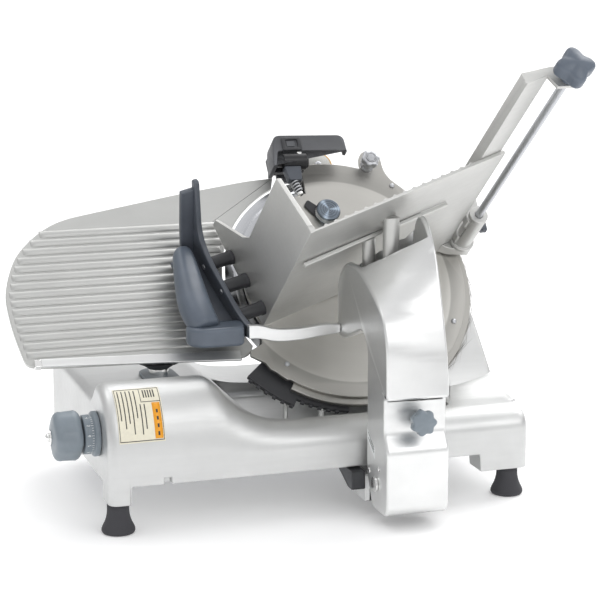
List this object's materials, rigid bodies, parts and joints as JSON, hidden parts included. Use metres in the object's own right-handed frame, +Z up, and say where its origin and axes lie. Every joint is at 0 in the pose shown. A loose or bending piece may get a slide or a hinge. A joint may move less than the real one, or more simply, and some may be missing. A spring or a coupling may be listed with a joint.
{
  "type": "deli meat slicer",
  "caption": "Gravity-feed slicer: tilted round knife, ribbed gauge plate, sliding tray on a hollow arm with handle and pusher, top sharpener, cast base on feet.",
  "frame": {"origin": "on the table under the middle of the slicer's bounding box", "axes": "+X along the carriage travel to the operator's right, +Y away from the operator, +Z up"},
  "size_m": [0.621, 0.512, 0.5708],
  "materials": {
    "cast_aluminium": "satin cast",
    "tray_aluminium": "satin anodised",
    "gauge_aluminium": "satin anodised",
    "cover_metal": "satin",
    "knife_steel": "ground and polished",
    "bright_steel": "polished",
    "machine_steel": "machined",
    "bronze": "machined",
    "black_casting": "satin",
    "dark_plastic": "moulded",
    "grip_plastic": "satin moulded",
    "knob_plastic": "satin moulded",
    "hood_plastic": "moulded",
    "foot_rubber": "moulded",
    "abrasive": "gritty",
    "start_green": "moulded",
    "stop_red": "moulded",
    "label": "printed film"
  },
  "bodies": {
    "base": {"base_casting": "cast_aluminium", "knife_pedestal": "cast_aluminium", "rear_cover": "cast_aluminium", "bottom_cover": "machine_steel", "feet": "foot_rubber", "base_screws": "bright_steel", "slide_rod": "bright_steel", "guide_track": "machine_steel", "motor": "black_casting", "drive_belt": "foot_rubber", "spindle_bearings": "machine_steel", "ring_guard": "cover_metal", "knife_cover": "cover_metal", "cover_screws": "bright_steel", "slice_deflector": "dark_plastic", "deflector_rods": "bright_steel", "sharpener_bracket": "hood_plastic", "gauge_rail": "bright_steel", "dial_collar": "knob_plastic", "switch_panel": "dark_plastic", "power_inlet": "foot_rubber", "label_plate": "label"},
    "carriage": {"transport_block": "black_casting", "transport_bushings": "bronze"},
    "roller": {"track_roller": "machine_steel"},
    "arm": {"carriage_arm": "cast_aluminium", "pivot_pin": "bright_steel", "tray": "tray_aluminium", "handle_rail": "dark_plastic", "handle_screws": "bright_steel", "handle_grip": "grip_plastic", "handle_end_cap": "grip_plastic", "handle_bar": "tray_aluminium", "guide_rod": "bright_steel", "rod_bracket": "tray_aluminium", "angle_bar": "tray_aluminium"},
    "tilt_knob": {"tilt_knob": "knob_plastic"},
    "star_knob": {"star_knob": "knob_plastic"},
    "pusher": {"pusher_sleeve": "tray_aluminium", "pusher_plate": "dark_plastic"},
    "pusher_lever": {"pusher_lever": "bright_steel"},
    "gauge": {"gauge_plate": "gauge_aluminium", "gauge_support": "gauge_aluminium", "post_collar": "dark_plastic", "gauge_seal": "foot_rubber", "gauge_carrier": "machine_steel"},
    "index": {"index_knob": "knob_plastic", "index_shaft": "bright_steel", "index_cam": "machine_steel"},
    "knife": {"knife": "knife_steel", "knife_spindle": "knife_steel", "knife_pulley": "machine_steel"},
    "motor_pulley": {"motor_pulley": "machine_steel"},
    "sharpener": {"sharpener_housing": "hood_plastic"},
    "grinding_stone": {"grinding_stone": "abrasive"},
    "truing_stone": {"truing_stone": "abrasive"},
    "cover_knob": {"cover_knob": "bright_steel"},
    "guard_knob": {"guard_knob": "bright_steel"},
    "start_button": {"start_button": "start_green"},
    "stop_button": {"stop_button": "stop_red"}
  },
  "joints": [
    {"name": "carriage_slide", "type": "slide", "parent": "base", "child": "carriage", "axis": [1, 0, 0], "range_m": [-0.265, 0.03]},
    {"name": "roller_turn", "type": "hinge", "parent": "carriage", "child": "roller", "pos_m": [0.106, 0.03093, 0.0724], "axis": [0, 1, 0], "range_deg": [-195, 1690]},
    {"name": "arm_tilt", "type": "hinge", "parent": "carriage", "child": "arm", "pos_m": [0.121, -0.14607, 0.0495], "axis": [1, 0, 0], "range_deg": [0, 30]},
    {"name": "tilt_knob_turn", "type": "hinge", "parent": "arm", "child": "tilt_knob", "pos_m": [0.123, -0.18807, 0.1345], "axis": [0, -1, 0], "range_deg": [0, 270]},
    {"name": "star_knob_turn", "type": "hinge", "parent": "arm", "child": "star_knob", "pos_m": [0.2854, -0.22536, 0.53962], "axis": [0, -0.7826, 0.6225], "range_deg": [0, 270]},
    {"name": "pusher_slide", "type": "slide", "parent": "arm", "child": "pusher", "axis": [0, -0.7826, 0.6225], "range_m": [0, 0.28]},
    {"name": "pusher_lever_turn", "type": "hinge", "parent": "pusher", "child": "pusher_lever", "pos_m": [0.301, 0.06264, 0.31053], "axis": [1, 0, 0], "range_deg": [0, 60]},
    {"name": "gauge_slide", "type": "slide", "parent": "base", "child": "gauge", "axis": [0, 1, 0], "range_m": [0, 0.0175]},
    {"name": "index_turn", "type": "hinge", "parent": "base", "child": "index", "pos_m": [-0.229, -0.03907, 0.1105], "axis": [1, 0, 0], "range_deg": [0, 301]},
    {"name": "knife_spin", "type": "hinge", "parent": "base", "child": "knife", "pos_m": [0.121, 0.09093, 0.2465], "axis": [0, -0.7826, 0.6225], "continuous": true},
    {"name": "motor_spin", "type": "hinge", "parent": "base", "child": "motor_pulley", "pos_m": [0.233, 0.14587, 0.1453], "axis": [0, -0.7826, 0.6225], "continuous": true},
    {"name": "sharpener_slide", "type": "slide", "parent": "base", "child": "sharpener", "axis": [0, -0.6225, -0.7826], "range_m": [0, 0.0048], "stiffness_N_per_m": 500, "springref_m": -0.012},
    {"name": "grinding_spin", "type": "hinge", "parent": "sharpener", "child": "grinding_stone", "pos_m": [0.127, 0.20628, 0.38027], "axis": [0, -0.7826, 0.6225], "continuous": true},
    {"name": "truing_spin", "type": "hinge", "parent": "sharpener", "child": "truing_stone", "pos_m": [0.088, 0.1755, 0.38495], "axis": [0, -0.7826, 0.6225], "continuous": true},
    {"name": "cover_knob_turn", "type": "hinge", "parent": "base", "child": "cover_knob", "pos_m": [0.119, 0.1413, 0.3291], "axis": [0, -0.7826, 0.6225], "range_deg": [0, 270]},
    {"name": "guard_knob_turn", "type": "hinge", "parent": "base", "child": "guard_knob", "pos_m": [0.189, 0.17737, 0.3873], "axis": [0, -0.7826, 0.6225], "range_deg": [0, 270]},
    {"name": "start_press", "type": "slide", "parent": "base", "child": "start_button", "axis": [-1, 0, 0], "range_m": [0, 0.003], "stiffness_N_per_m": 800},
    {"name": "stop_press", "type": "slide", "parent": "base", "child": "stop_button", "axis": [-1, 0, 0], "range_m": [0, 0.003], "stiffness_N_per_m": 800}
  ],
  "couplings": [
    {"joint": "roller_turn", "follows": "carriage_slide", "rad_per_m": -111.11},
    {"joint": "index_turn", "follows": "gauge_slide", "rad_per_m": 299.2},
    {"joint": "motor_spin", "follows": "knife_spin", "ratio": 1.7}
  ]
}
